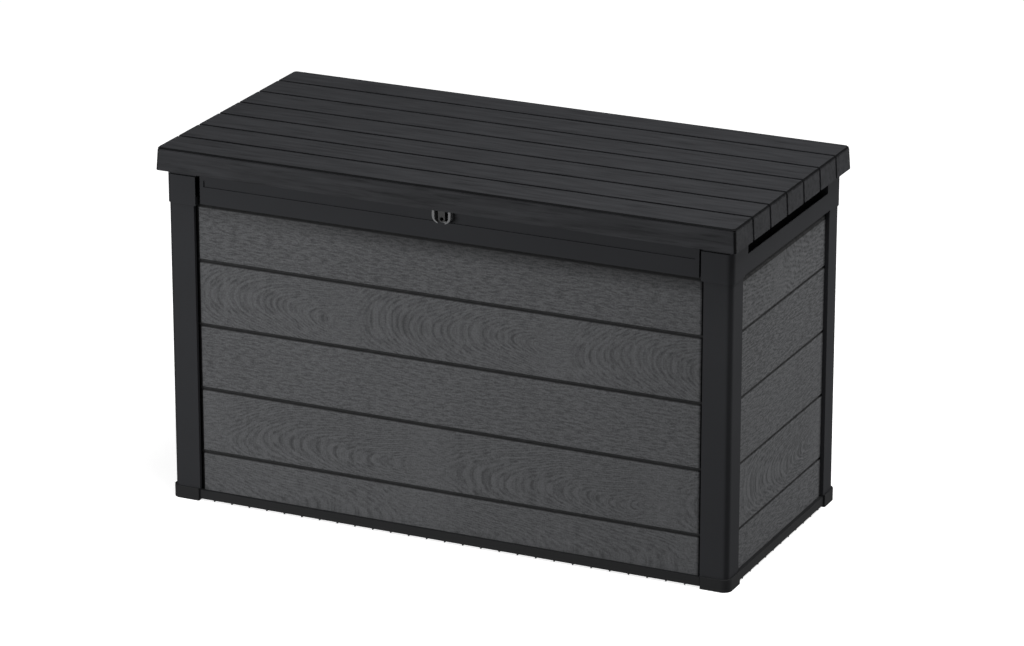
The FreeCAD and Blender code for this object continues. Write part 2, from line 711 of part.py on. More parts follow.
def lid_panel():
    """The lid's outer piece: seven planks on top that turn down over the ends."""
    half = LID_GROOVE_WIDTH / 2
    span = LID_HALF_X + CUT_PAST
    grooves = [
        box(-span, span, y - half, y + half, LID_BOTTOM - CUT_PAST, TOTAL_HEIGHT + CUT_PAST)
        for y in groove_places()
    ]
    planks = lid_form(0, LID_BOTTOM).cut(group(grooves))
    whole = planks.fuse(lid_form(LID_GROOVE_DEPTH, LID_BOTTOM))
    hollow = lid_form(LID_WALL, LID_BOTTOM)
    skin = whole.cut(group([hollow, edge_line()]))
    backing = []
    for y in groove_places():
        low, high = y - LID_BACKING_WIDTH / 2, y + LID_BACKING_WIDTH / 2
        strip = box(-span, span, low, high, LID_BOTTOM, TOTAL_HEIGHT)
        backing.append(hollow.common(strip).cut(lid_form(LID_WALL + LID_END_BACKING, LID_BOTTOM)))
        top = TOTAL_HEIGHT - LID_WALL
        backing.append(box(-RIB_REACH, RIB_REACH, low, high, LID_BACKING_BOTTOM, top))
    return fused([skin] + backing)


def lid_liner():
    """The lid's inner piece: a sheet with ribs that hold up the planks."""
    sheet_top = LINER_BOTTOM + LINER_SHEET
    half = LINER_RIB / 2
    reach = RIB_REACH
    x, y = LINER_HALF_X, LINER_HALF_Y
    pieces = [upright([(-x, -y), (x, -y), (x, y), (-x, y)], LINER_BOTTOM, sheet_top)]
    for groove in groove_places():
        pieces.append(box(-reach, reach, groove - half, groove + half, sheet_top, LID_BACKING_BOTTOM))
    first, last = groove_places()[0], groove_places()[-1]
    for i in range(LINER_CROSS_RIBS):
        rib_x = -reach + half + (2 * reach - LINER_RIB) * i / (LINER_CROSS_RIBS - 1)
        pieces.append(box(rib_x - half, rib_x + half, first, last, sheet_top, LID_BACKING_BOTTOM))
    liner = fused(pieces)
    seats = hasp_seats() + lid_bracket_seats()
    seats += [V(-seat.x, seat.y, seat.z) for seat in lid_bracket_seats()]
    for place in HINGE_PLACES.values():
        seats += lid_leaf_seats(place)
    return drilled(liner, seats, Z_AXIS)


# Hinges.


def knuckle(x0, x1):
    """A length of hinge barrel."""
    return rod(V(x0, HINGE_Y, HINGE_Z), X_AXIS, KNUCKLE_RADIUS, x1 - x0)


def pin_bore(place):
    """The hole that a hinge pin turns in."""
    start = V(place - HINGE_HALF_WIDTH, HINGE_Y, HINGE_Z)
    return rod(start, X_AXIS, PIN_RADIUS + RUNNING_CLEARANCE, 2 * HINGE_HALF_WIDTH)


def hinge_body_leaf(place):
    """The leaf on the rear rail, with two knuckles."""
    face = RAIL_FACE_Y
    x0, x1 = place - HINGE_HALF_WIDTH, place + HINGE_HALF_WIDTH
    pieces = [box(x0, x1, face, face + LEAF, LEAF_BOTTOM, LEAF_TOP)]
    for side in (-1, 1):
        ends = sorted((place + side * KNUCKLE_SPLIT, place + side * KNUCKLE_OUTER))
        pieces.append(knuckle(ends[0], ends[1]))
        pieces.append(box(ends[0], ends[1], face, HINGE_Y, KNUCKLE_WEB_BOTTOM, LEAF_TOP))
    leaf = fused(pieces).cut(pin_bore(place))
    return drilled(leaf, body_leaf_seats(place), Y_AXIS * -1)


def hinge_lid_leaf(place):
    """The leaf under the lid, with the middle knuckle."""
    half = KNUCKLE_SPLIT - KNUCKLE_CLEARANCE
    top = LINER_BOTTOM
    x0, x1 = place - HINGE_HALF_WIDTH, place + HINGE_HALF_WIDTH
    pieces = [
        box(x0, x1, LID_LEAF_FRONT, LID_LEAF_REAR, top - LEAF, top),
        knuckle(place - half, place + half),
        box(place - half, place + half, LID_WEB_FRONT, LID_WEB_REAR, HINGE_Z, top - LEAF),
    ]
    leaf = fused(pieces).cut(pin_bore(place))
    return drilled(leaf, lid_leaf_seats(place), Z_AXIS)


def hinge_pin(place):
    """A pin with a flat head."""
    start = V(place - KNUCKLE_OUTER - PIN_HEAD, HINGE_Y, HINGE_Z)
    shaft = rod(start, X_AXIS, PIN_RADIUS, 2 * KNUCKLE_OUTER + PIN_HEAD)
    head = rod(V(place + KNUCKLE_OUTER, HINGE_Y, HINGE_Z), X_AXIS, PIN_RADIUS + PIN_HEAD, PIN_HEAD)
    return fused([shaft, head])


# Gas struts. Each is drawn upright from a pivot at the origin, then leaned into place.


def placed(shape, pivot, upside_down=False):
    """Leans an upright strut piece into line between the pivots, on the right-hand side."""
    moved = shape.copy()
    if upside_down:
        moved.rotate(ORIGIN, X_AXIS, 180)
    moved.rotate(ORIGIN, X_AXIS, STRUT_LEAN)
    moved.translate(V(STRUT_X, pivot.y, pivot.z))
    return moved


def strut_end(length):
    """An eye on a short neck."""
    eye = rod(V(-EYE_HALF_WIDTH, 0, 0), X_AXIS, EYE_RADIUS, 2 * EYE_HALF_WIDTH)
    neck = rod(ORIGIN, Z_AXIS, NECK_RADIUS, length)
    hole_radius = STRUT_PIN_RADIUS + RUNNING_CLEARANCE
    hole = rod(V(-EYE_HALF_WIDTH, 0, 0), X_AXIS, hole_radius, 2 * EYE_HALF_WIDTH)
    trim = box(EYE_HALF_WIDTH, NECK_RADIUS + EYE_SHOULDER, -EYE_RADIUS, EYE_RADIUS, 0, EYE_RADIUS)
    return fused([eye, neck]).cut(group([hole, trim, flipped_x(trim)]))


def strut_tube():
    """The gas cylinder, open only where the rod passes."""
    outer = rod(V(0, 0, TUBE_START), Z_AXIS, TUBE_RADIUS, TUBE_END - TUBE_START)
    bore = rod(V(0, 0, TUBE_FLOOR), Z_AXIS, TUBE_BORE, TUBE_GLAND - TUBE_FLOOR)
    mouth = rod(V(0, 0, TUBE_GLAND), Z_AXIS, ROD_RADIUS + ROD_CLEARANCE, TUBE_END - TUBE_GLAND)
    return outer.cut(bore).cut(mouth)


def strut_rod():
    """The rod with its piston."""
    shaft = rod(V(0, 0, ROD_START), Z_AXIS, ROD_RADIUS, ROD_END - ROD_START)
    piston = rod(V(0, 0, ROD_END - PISTON_LENGTH), Z_AXIS, PISTON_RADIUS, PISTON_LENGTH)
    return fused([shaft, piston])


def bracket_pin(pivot):
    """A pin that carries a strut's eye, with a head on its free end."""
    tip = STRUT_X - EYE_HALF_WIDTH - STRUT_PIN_END
    length = BRACKET_INNER_X - tip + STRUT_PIN_END
    shaft = rod(V(tip, pivot.y, pivot.z), X_AXIS, STRUT_PIN_RADIUS, length)
    head_start = V(tip - PIN_HEAD, pivot.y, pivot.z)
    head = rod(head_start, X_AXIS, STRUT_PIN_RADIUS + PIN_HEAD, PIN_HEAD)
    return [shaft, head]


def strut_wall_bracket():
    """The plate on the right wall with the lower pin."""
    x1 = FACE_X - PANEL_THICKNESS
    y, z = WALL_PIVOT.y, WALL_PIVOT.z
    half_y, half_z = WALL_PLATE_HALF
    plate = box(x1 - BRACKET, x1, y - half_y, y + half_y, z - half_z, z + half_z)
    collar = rod(V(BRACKET_INNER_X, y, z), X_AXIS, EYE_RADIUS, x1 - BRACKET - BRACKET_INNER_X)
    bracket = fused([plate, collar] + bracket_pin(WALL_PIVOT))
    return drilled(bracket, wall_bracket_seats(), X_AXIS)


def strut_lid_bracket():
    """The angle under the lid with the upper pin, right-hand side."""
    y, z = LID_PIVOT.y, LID_PIVOT.z
    x0, x1 = BRACKET_INNER_X, BRACKET_INNER_X + BRACKET
    flange_bottom = LINER_BOTTOM - LEAF
    web = box(x0, x1, y - LID_WEB_HALF, y + LID_WEB_HALF, z - LID_WEB_DROP, LINER_BOTTOM)
    flange_start = STRUT_X - FLANGE_REACH
    flange = box(flange_start, x1, y - FLANGE_HALF, y + FLANGE_HALF, flange_bottom, LINER_BOTTOM)
    bracket = fused([web, flange] + bracket_pin(LID_PIVOT))
    return drilled(bracket, lid_bracket_seats(), Z_AXIS)


# Lock.


def lock_guard():
    """A U-shaped cheek round the padlock place, on the front rail."""
    inner = GUARD_HALF_WIDTH - GUARD_ARM
    outer_points = [
        (-GUARD_HALF_WIDTH, GUARD_TOP),
        (GUARD_HALF_WIDTH, GUARD_TOP),
        (GUARD_HALF_WIDTH, GUARD_BOTTOM),
        (-GUARD_HALF_WIDTH, GUARD_BOTTOM),
    ]
    inner_points = [
        (-inner, GUARD_TOP),
        (inner, GUARD_TOP),
        (inner, GUARD_BOTTOM + GUARD_SILL),
        (-inner, GUARD_BOTTOM + GUARD_SILL),
    ]
    back = INSET_DEPTH - RAIL_FACE_Y
    outer_radii = {2: GUARD_RADIUS, 3: GUARD_RADIUS}
    inner_radii = {2: GUARD_RADIUS - GUARD_ARM, 3: GUARD_RADIUS - GUARD_ARM}
    outer = facing_y(outer_points, -GUARD_FRONT, back, outer_radii)
    inner_space = facing_y(inner_points, -GUARD_FRONT, back, inner_radii)
    half, sill_half = GUARD_HALF_WIDTH, GUARD_SILL_HALF
    above_inset = box(-half, half, -RAIL_FACE_Y, back, INSET_TOP, GUARD_TOP)
    sill_top = GUARD_BOTTOM + GUARD_ARM
    sill_face = box(-sill_half, sill_half, -GUARD_FRONT, -GUARD_SILL_FRONT, GUARD_BOTTOM, sill_top)
    guard = outer.cut(inner_space).cut(above_inset).cut(sill_face)
    return drilled(guard, guard_seats(), Y_AXIS * -1)


def lock_staple():
    """The plate with a padlock hole that stands on the rail inside the guard."""
    half = STAPLE_HALF_WIDTH
    back = LOCK_PLATE - STAPLE_FRONT
    pieces = [box(-half, half, -STAPLE_FRONT, back, STAPLE_LOW, STAPLE_HIGH)]
    for side in (-1, 1):
        x0, x1 = sorted((side * half, side * (half - LOCK_PLATE)))
        pieces.append(box(x0, x1, back, -RAIL_FACE_Y, INSET_TOP, STAPLE_HIGH))
    hole = rod(V(0, -STAPLE_FRONT, PADLOCK_Z), Y_AXIS, PADLOCK_HOLE, LOCK_PLATE)
    return fused(pieces).cut(hole)


def lid_hasp():
    """The tongue that hangs from the lid in front of the staple."""
    half = HASP_HALF_WIDTH
    top = LINER_BOTTOM
    back = LOCK_PLATE - HASP_FRONT
    tongue_points = [(-half, top), (half, top), (half, HASP_LOW), (-half, HASP_LOW)]
    tongue = facing_y(tongue_points, -HASP_FRONT, back, {2: HASP_END_RADIUS, 3: HASP_END_RADIUS})
    flange_half = HASP_FLANGE_HALF
    flange = box(-flange_half, flange_half, -HASP_FLANGE_FRONT, back, top - LEAF, top)
    hole = rod(V(0, -HASP_FRONT, PADLOCK_Z), Y_AXIS, PADLOCK_HOLE, LOCK_PLATE)
    return drilled(fused([tongue, flange]).cut(hole), hasp_seats(), Z_AXIS)


# Writing the sub-parts.


def save_corners(name, shape):
    """Writes a front right corner piece at all four corners."""
    save("front_right_" + name, shape)
    save("front_left_" + name, flipped_x(shape))
    save("rear_right_" + name, flipped_y(shape))
    save("rear_left_" + name, flipped_y(flipped_x(shape)))


def save_sides(name, shape):
    """Writes a right-hand piece at both sides."""
    save("right_" + name, shape)
    save("left_" + name, flipped_x(shape))


def save_screws(name, shapes):
    """Writes a group of identical screws."""
    save(name, group(shapes))


def save_hinges():
    """Writes the three hinges with their screws."""
    body_screws, lid_screws = [], []
    for word, place in HINGE_PLACES.items():
        save(word + "_hinge_body_leaf", hinge_body_leaf(place))
        save(word + "_hinge_lid_leaf", hinge_lid_leaf(place))
        save(word + "_hinge_pin", hinge_pin(place))
        body_screws += [screw(seat, Y_AXIS * -1) for seat in body_leaf_seats(place)]
        lid_screws += [screw(seat, Z_AXIS) for seat in lid_leaf_seats(place)]
    save_screws("hinge_body_screws", body_screws)
    save_screws("hinge_lid_screws", lid_screws)


def save_struts():
    """Writes both gas struts with their brackets and screws."""
    save_sides("strut_wall_bracket", strut_wall_bracket())
    save_sides("strut_lid_bracket", strut_lid_bracket())
    save_sides("strut_tube", placed(strut_tube(), WALL_PIVOT))
    save_sides("strut_tube_end", placed(strut_end(TUBE_START), WALL_PIVOT))
    save_sides("strut_rod", placed(strut_rod(), LID_PIVOT, True))
    save_sides("strut_rod_end", placed(strut_end(ROD_START), LID_PIVOT, True))
    wall_screws = [screw(seat, X_AXIS) for seat in wall_bracket_seats()]
    lid_screws = [screw(seat, Z_AXIS) for seat in lid_bracket_seats()]
    save_screws("strut_wall_screws", wall_screws + [flipped_x(s) for s in wall_screws])
    save_screws("strut_lid_screws", lid_screws + [flipped_x(s) for s in lid_screws])


def save_lock():
    """Writes the lock's pieces and screws."""
    save("lock_guard", lock_guard())
    save("lock_staple", lock_staple())
    save("lid_hasp", lid_hasp())
    save_screws("lock_guard_screws", [screw(seat, Y_AXIS * -1) for seat in guard_seats()])
    save_screws("lid_hasp_screws", [screw(seat, Z_AXIS) for seat in hasp_seats()])


def main():
    os.makedirs("parts", exist_ok=True)
    save("base_tray", base_tray())
    save_corners("foot", foot())
    save_corners("post", corner_post())
    front = wall_panel(PANEL_HALF_X, FACE_Y, JOINT_HEIGHT_FRONT, TOP_LIP_FRONT, END_REVEAL)
    save("front_wall_panel", front)
    save("rear_wall_panel", flipped_y(front))
    save_sides("wall_panel", side_wall_panel())
    save("front_top_rail", front_top_rail())
    save("rear_top_rail", rear_top_rail())
    save_sides("top_rail", side_top_rail())
    save("rim_pads", rim_pads())
    save("lid_panel", lid_panel())
    save("lid_liner", lid_liner())
    save_hinges()
    save_struts()
    save_lock()


main()
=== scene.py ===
import math

import bmesh
import bpy
import numpy as np
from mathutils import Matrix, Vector


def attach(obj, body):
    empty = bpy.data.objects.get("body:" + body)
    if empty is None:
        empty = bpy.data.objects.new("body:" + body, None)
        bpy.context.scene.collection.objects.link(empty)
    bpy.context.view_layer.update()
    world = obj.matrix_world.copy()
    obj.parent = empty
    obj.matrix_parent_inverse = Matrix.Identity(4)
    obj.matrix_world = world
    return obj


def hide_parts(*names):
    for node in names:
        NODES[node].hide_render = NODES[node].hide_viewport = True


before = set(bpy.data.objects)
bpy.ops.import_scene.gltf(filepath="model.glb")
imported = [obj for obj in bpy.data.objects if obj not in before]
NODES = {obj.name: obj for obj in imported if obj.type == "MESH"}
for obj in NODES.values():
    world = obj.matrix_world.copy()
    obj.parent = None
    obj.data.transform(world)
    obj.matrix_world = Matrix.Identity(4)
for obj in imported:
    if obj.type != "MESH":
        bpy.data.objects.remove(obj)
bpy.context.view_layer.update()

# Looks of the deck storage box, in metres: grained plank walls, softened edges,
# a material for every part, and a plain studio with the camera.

MM = 0.001

# Camera: the direction that it looks from, its place and its lens.
CAMERA_AZIMUTH = 25.079
CAMERA_ELEVATION = 19.358
CAMERA_PLACE = (4.679, -9.950, 4.315)
CAMERA_LENS = 169.38
SENSOR_WIDTH = 36.0

# Wall planks.
JOINT_DEPTH = 3.0 * MM
ROW_PITCH = 2.4 * MM
COLUMN_PITCH = 6.0 * MM
EDGE_ROUNDING = 1.2 * MM
RELIEF = 0.22 * MM
SAME_PLACE = 0.02 * MM
SHARP_ANGLE = 50
LEDGE_STEP = 0.03 * MM
ROUND_SHARE = 0.3
SLOPE_START = 0.12
SLOPE_MIDDLE = 0.55

# Grain: the pitch of straight grain, how far apart it wanders, and how rings drift.
GRAIN_PITCH = 5 * MM
GRAIN_TILT = 0.3
GRAIN_WANDER = 0.16
RING_DRIFT = 0.10
RING_DRIFT_SIZE = 0.7
RING_UNEVEN = 0.3
RING_UNEVEN_SIZE = 0.3
WAVE_STRETCH = (0.6, 2.2)
WAVE_TILT = 4.0
FADE_IN = 0.16
FADE_OUT = 0.12
END_FADE = 6 * MM
STRAIGHT_PITCH_SHARE = 1.7
STRAIGHT_RELIEF = 0.5
PLANK_SHIFT = 3.0

# Painted shade in the joints, and painted shadow on the top plank under the rail: 0 is none and 1 the
# darkest.
LIP_SHADE = 0.97
FLOOR_SHADE = 0.82
UNDER_EDGE_SHADE = 0.7 * LIP_SHADE
ROUND_SHADE = 0.2
SLOPE_START_SHADE = 0.1
TOP_LINE = 3.2 * MM
SIDE_TOP_LINE = 8.0 * MM
TOP_FADE = 44 * MM
TOP_SHADE = 0.7
TOP_SHADE_START = 0.35
TOP_SHADE_LENGTH = 0.45


def arches(points, length, depth, middle, flat=2.2, pitch=11 * MM, strength=1.0):
    """A plank with nested arches, which point along (1) or against (-1) the wall's axis.

    Each set of arches has a length, and depth says how far the log's middle sinks over
    it. The middle line's height is in half plank heights. The rings are drawn flat times
    as high as they are deep, a pitch apart.
    """
    return {
        "points": points,
        "length": length,
        "depth": depth,
        "middle": middle,
        "flat": flat,
        "pitch": pitch,
        "strength": strength,
        "bold": 0.6,
        "waves": 0.25,
    }


def straight(strength, waves=0.3):
    """A plank with straight grain, more or less bold and wavy."""
    return {**arches(1, 1.0, 0.1, 0.0, strength=0.0), "bold": strength, "waves": waves}


# How the planks are grained, from the bottom up.
LONG_FIGURES = (
    arches(1, 0.74, 0.26, -0.5, strength=0.65),
    arches(-1, 0.60, 0.30, -0.35, flat=2.6, pitch=12 * MM, strength=0.75),
    straight(0.75, 0.2),
    arches(-1, 0.547, 0.31, 0.0, flat=2.0, pitch=10 * MM, strength=0.75),
    straight(0.8, 0.3),
)
SHORT_FIGURES = (
    straight(0.85, 0.3),
    arches(-1, 0.50, 0.28, -0.1, pitch=12 * MM),
    straight(0.8, 0.25),
    straight(0.95, 0.35),
    arches(-1, 0.42, 0.20, 1.3, flat=1.5, pitch=13 * MM),
)
WALL_FIELDS = ("ring", "lay", "along", "figure", "bold", "joint")
WALLS = {
    "front_wall_panel": (1, -1, 3, LONG_FIGURES),
    "rear_wall_panel": (1, 1, 11, LONG_FIGURES),
    "left_wall_panel": (0, -1, 23, SHORT_FIGURES),
    "right_wall_panel": (0, 1, 37, SHORT_FIGURES),
}


# ---- Node materials ----


class Shader:
    """A material with one Principled shader and the patterns that drive it."""

    def __init__(self, name, roughness, **sockets):
        self.material = bpy.data.materials.new(name)
        self.material.use_nodes = True
        self.tree = self.material.node_tree
        self.surface = self.tree.nodes["Principled BSDF"]
        self.surface.inputs["Roughness"].default_value = roughness
        for socket, value in sockets.items():
            self.surface.inputs[socket.replace("_", " ")].default_value = value

    def add(self, kind, **settings):
        """A new node with its settings."""
        node = self.tree.nodes.new("ShaderNode" + kind)
        for name, value in settings.items():
            setattr(node, name, value)
        return node

    def feed(self, value, socket):
        """Sets a socket from another socket or from a plain value."""
        if isinstance(value, bpy.types.NodeSocket):
            self.tree.links.new(value, socket)
        else:
            socket.default_value = value

    def math(self, operation, *values):
        """A sum, product or other function of sockets and numbers."""
        node = self.add("Math", operation=operation)
        for value, socket in zip(values, node.inputs):
            self.feed(value, socket)
        return node.outputs[0]

    def place(self):
        """The point on the part, in metres."""
        return self.add("TexCoord").outputs["Object"]

    def stretched(self, scales, source=None):
        """The point with each axis scaled: small numbers make long features."""
        node = self.add("Mapping")
        self.feed(source or self.place(), node.inputs["Vector"])
        node.inputs["Scale"].default_value = scales
        return node.outputs[0]

    def noise(self, vector, scale=1.0, detail=3.0, roughness=0.55):
        """Smooth noise from 0 to 1."""
        node = self.add("TexNoise")
        self.feed(vector, node.inputs["Vector"])
        node.inputs["Scale"].default_value = scale
        node.inputs["Detail"].default_value = detail
        node.inputs["Roughness"].default_value = roughness
        return node.outputs["Fac"]

    def spread(self, value, low, high, to_low=0.0, to_high=1.0):
        """A range of the value mapped to another range, and held outside it."""
        node = self.add("MapRange")
        for given, socket in zip((value, low, high, to_low, to_high), node.inputs):
            self.feed(given, socket)
        return node.outputs[0]

    def blend(self, share, first, second):
        """A colour between two."""
        node = self.add("Mix", data_type="RGBA")
        self.feed(share, node.inputs["Factor"])
        self.feed(first, node.inputs[6])
        self.feed(second, node.inputs[7])
        return node.outputs[2]

    def bump(self, height, depth):
        """Relief on the surface: a height from 0 to 1 that is worth depth metres."""
        node = self.add("Bump")
        self.feed(height, node.inputs["Height"])
        node.inputs["Distance"].default_value = depth
        self.feed(node.outputs[0], self.surface.inputs["Normal"])

    def rounding(self):
        """1 on rounded edges and corners, and 0 on the flat sides of the part."""
        turned = self.add("VectorTransform", vector_type="NORMAL", convert_to="OBJECT")
        self.feed(self.add("NewGeometry").outputs["True Normal"], turned.inputs[0])
        split = self.add("SeparateXYZ")
        self.feed(turned.outputs[0], split.inputs[0])
        largest = 0.0
        for part in split.outputs:
            largest = self.math("MAXIMUM", largest, self.math("ABSOLUTE", part))
        return self.spread(largest, 0.97, 0.87)

    def painted_edge_shade(self, colour, share):
        """A colour with painted shade on rounded edges: darker there by a share from 0 to 1."""
        return self.blend(self.math("MULTIPLY", self.rounding(), share), colour, (0.0, 0.0, 0.0, 1.0))

    def colour(self, value):
        """What drives the base colour."""
        self.feed(value, self.surface.inputs["Base Color"])

    def roughness(self, value):
        """What drives the roughness."""
        self.feed(value, self.surface.inputs["Roughness"])


def shade(colour, factor):
    """A colour made lighter or darker."""
    return tuple(channel * factor for channel in colour) + (1.0,)


def moulded(name, colour, roughness, speckle=420.0, depth=0.05 * MM, gloss=0.3, edge=0.0):
    """Moulded resin: fine even texture, faint cloudiness and slightly uneven polish."""
    shader = Shader(name, roughness, Specular_IOR_Level=gloss)
    fine = shader.noise(shader.place(), speckle, 4.0, 0.6)
    broad = shader.noise(shader.place(), 7.0, 2.0)
    tone = shader.math("ADD", shader.math("MULTIPLY", fine, 0.45), shader.math("MULTIPLY", broad, 0.55))
    surface = shader.blend(tone, shade(colour, 0.86), shade(colour, 1.14))
    # Painted shade: with an edge share, the colour is drawn darker on rounded edges.
    shader.colour(shader.painted_edge_shade(surface, edge) if edge else surface)
    shader.roughness(shader.spread(fine, 0.3, 0.7, roughness - 0.05, roughness + 0.05))
    shader.bump(fine, depth)
    return shader.material


def brushed_lid(name, colour, roughness, gloss, edge):
    """Lid resin: fine grain drawn out along the planks, with scattered deeper strokes."""
    shader = Shader(name, roughness, Specular_IOR_Level=gloss)
    hair = shader.noise(shader.stretched((26.0, 420.0, 420.0)), 1.0, 4.0, 0.6)
    streaks = shader.noise(shader.stretched((7.0, 80.0, 80.0)), 1.0, 3.0, 0.55)
    strokes = shader.noise(shader.stretched((9.0, 110.0, 110.0)), 1.0, 3.0, 0.5)
    broad = shader.noise(shader.stretched((1.5, 9.0, 9.0)), 1.0, 2.0)
    cuts = shader.spread(strokes, 0.54, 0.66)
    tone = 0.0
    for part, share in ((hair, 0.35), (shader.spread(streaks, 0.3, 0.7), 0.5), (broad, 0.4), (cuts, -0.3)):
        tone = shader.math("ADD", tone, shader.math("MULTIPLY", part, share))
    surface = shader.blend(tone, shade(colour, 0.6), shade(colour, 1.5))
    # Painted shade: the lid's colour is drawn darker on its rounded edges.
    shader.colour(shader.painted_edge_shade(surface, edge))
    shader.roughness(shader.spread(hair, 0.3, 0.7, roughness - 0.06, roughness + 0.06))
    shader.bump(shader.math("SUBTRACT", hair, cuts), 0.12 * MM)
    return shader.material


def grain_strokes(shader, along, across):
    """Short strokes and finer pores that follow the grain, from 0 to about 1."""
    lay = shader.add("CombineXYZ")
    shader.feed(along, lay.inputs[0])
    shader.feed(across, lay.inputs[1])
    dashes = shader.noise(shader.stretched((42.0, 1.0, 1.0), lay.outputs[0]), 1.0, 3.0, 0.6)
    pores = shader.noise(shader.stretched((110.0, 2.1, 1.0), lay.outputs[0]), 1.0, 3.0, 0.6)
    bold = shader.math("MULTIPLY", shader.spread(dashes, 0.42, 0.62), 0.6)
    fine = shader.math("MULTIPLY", shader.spread(pores, 0.42, 0.64), 0.4)
    return shader.math("ADD", bold, fine)


def grained_wall(name, colour, roughness, gloss):
    """Wall resin: wood rings and pores embossed along the planks, with painted shade in the joints and
    under the rail.
    """
    shader = Shader(name, roughness, Specular_IOR_Level=gloss)
    ring, lay, along, figure, bold, joint = (
        shader.add("Attribute", attribute_name=field).outputs["Fac"] for field in WALL_FIELDS
    )
    arched = grain_strokes(shader, along, ring)
    level = grain_strokes(shader, along, lay)
    saw = shader.math("FRACT", ring)
    line = shader.spread(shader.math("ABSOLUTE", shader.math("SUBTRACT", saw, 0.5)), 0.1, 0.45)
    line = shader.math("MULTIPLY", line, shader.math("ADD", arched, 0.15))
    arched = shader.math("ADD", shader.math("MULTIPLY", line, 0.5), shader.math("MULTIPLY", arched, 0.55))
    level = shader.math("MULTIPLY", level, bold)
    mixed = shader.add("Mix", data_type="FLOAT")
    for value, socket in ((figure, 0), (level, 2), (arched, 3)):
        shader.feed(value, mixed.inputs[socket])
    stipple = shader.spread(shader.noise(shader.place(), 250.0, 3.0, 0.65), 0.36, 0.66)
    cut = shader.math("ADD", mixed.outputs[0], shader.math("MULTIPLY", stipple, 0.4))
    broad = shader.noise(shader.place(), 3.0, 2.0)
    tone = shader.math("ADD", cut, shader.math("MULTIPLY", broad, 0.25))
    grain = shader.blend(shader.spread(tone, 0.15, 1.05), shade(colour, 1.35), shade(colour, 0.6))
    # Painted shade: the joint field darkens the colour in the joints, the sunk margins and under the rail.
    shader.colour(shader.blend(joint, grain, shade(colour, 0.1)))
    shader.roughness(shader.spread(cut, 0.1, 1.0, roughness - 0.06, roughness + 0.1))
    shader.bump(shader.math("MULTIPLY", cut, -1.0), 0.45 * MM)
    return shader.material


def metal(name, colour, roughness, stretch, coat=0.0):
    """Plated or polished steel with fine drawn marks."""
    shader = Shader(name, roughness, Metallic=1.0, Coat_Weight=coat)
    marks = shader.noise(shader.stretched(stretch), 1.0, 4.0, 0.6)
    shader.colour(shader.blend(marks, shade(colour, 0.85), shade(colour, 1.1)))
    shader.roughness(shader.spread(marks, 0.3, 0.7, roughness - 0.06, roughness + 0.08))
    shader.bump(marks, 0.01 * MM)
    return shader.material


def painted(name, colour, roughness, coat):
    """Paint or powder coat on steel, with a slight orange-peel surface."""
    shader = Shader(name, roughness, Coat_Weight=coat, Coat_Roughness=0.2)
    peel = shader.noise(shader.place(), 900.0, 2.0)
    wear = shader.noise(shader.place(), 60.0, 4.0, 0.7)
    shader.colour(shader.blend(shader.spread(wear, 0.35, 0.75), shade(colour, 0.85), shade(colour, 1.3)))
    shader.roughness(shader.spread(peel, 0.3, 0.7, roughness - 0.04, roughness + 0.06))
    shader.bump(peel, 0.03 * MM)
    return shader.material


LID_COLOUR = (0.0330, 0.0336, 0.0362)
FRAME_COLOUR = (0.0371, 0.0380, 0.0412)
WALL_COLOUR = (0.1075, 0.1095, 0.1142)
BASE_COLOUR = (0.0220, 0.0225, 0.0235)
LINER_COLOUR = (0.015, 0.0155, 0.0165)
BLACK_RESIN = (0.007, 0.0072, 0.0076)
LOCK_GREY = (0.17, 0.173, 0.178)
HINGE_RESIN = (0.010, 0.0102, 0.0106)
ZINC = (0.60, 0.60, 0.59)
CHROME = (0.68, 0.69, 0.70)
STRUT_PAINT = (0.006, 0.006, 0.0065)
BRACKET_COAT = (0.012, 0.012, 0.0125)
RUBBER = (0.009, 0.009, 0.0095)


def make_materials():
    """One material for each of the record's slots."""
    return {
        # The lid's last number and the frame's last number are painted shade on rounded edges.
        "lid_plastic": brushed_lid("lid_resin", LID_COLOUR, 0.62, 0.05, 0.8),
        "liner_plastic": moulded("liner_resin", LINER_COLOUR, 0.55, 260.0),
        "frame_plastic": moulded("frame_resin", FRAME_COLOUR, 0.6, 480.0, 0.06 * MM, 0.04, 0.3),
        "wall_plastic": grained_wall("wall_resin", WALL_COLOUR, 0.66, 0.15),
        "base_plastic": moulded("base_resin", BASE_COLOUR, 0.62, 380.0, 0.08 * MM, 0.15),
        "lock_grey_plastic": moulded("lock_grey_resin", LOCK_GREY, 0.4, 900.0, 0.02 * MM, 0.5),
        "lock_black_plastic": moulded("lock_black_resin", BLACK_RESIN, 0.35, 900.0, 0.02 * MM, 0.5),
        "hinge_plastic": moulded("hinge_resin", HINGE_RESIN, 0.45, 700.0, 0.03 * MM, 0.4),
        "pin_steel": metal("pin_zinc", ZINC, 0.34, (60.0, 1200.0, 1200.0)),
        "screw_steel": metal("screw_zinc", ZINC, 0.36, (900.0, 900.0, 900.0)),
        "bracket_steel": painted("bracket_powder_coat", BRACKET_COAT, 0.5, 0.0),
        "strut_black_paint": painted("strut_paint", STRUT_PAINT, 0.28, 0.6),
        "strut_rod_steel": metal("strut_chrome", CHROME, 0.12, (500.0, 500.0, 60.0)),
        "strut_end_plastic": moulded("strut_end_nylon", HINGE_RESIN, 0.42, 800.0, 0.02 * MM, 0.45),
        "pad_rubber": moulded("pad_rubber", RUBBER, 0.75, 600.0, 0.05 * MM, 0.3),
    }


def dress(materials):
    """Gives every CAD node the material of its slot."""
    for node in NODES.values():
        slots = node.data.materials
        for index, old in enumerate(slots):
            slots[index] = materials[old.name.split(".")[0]]


# ---- Softened edges ----


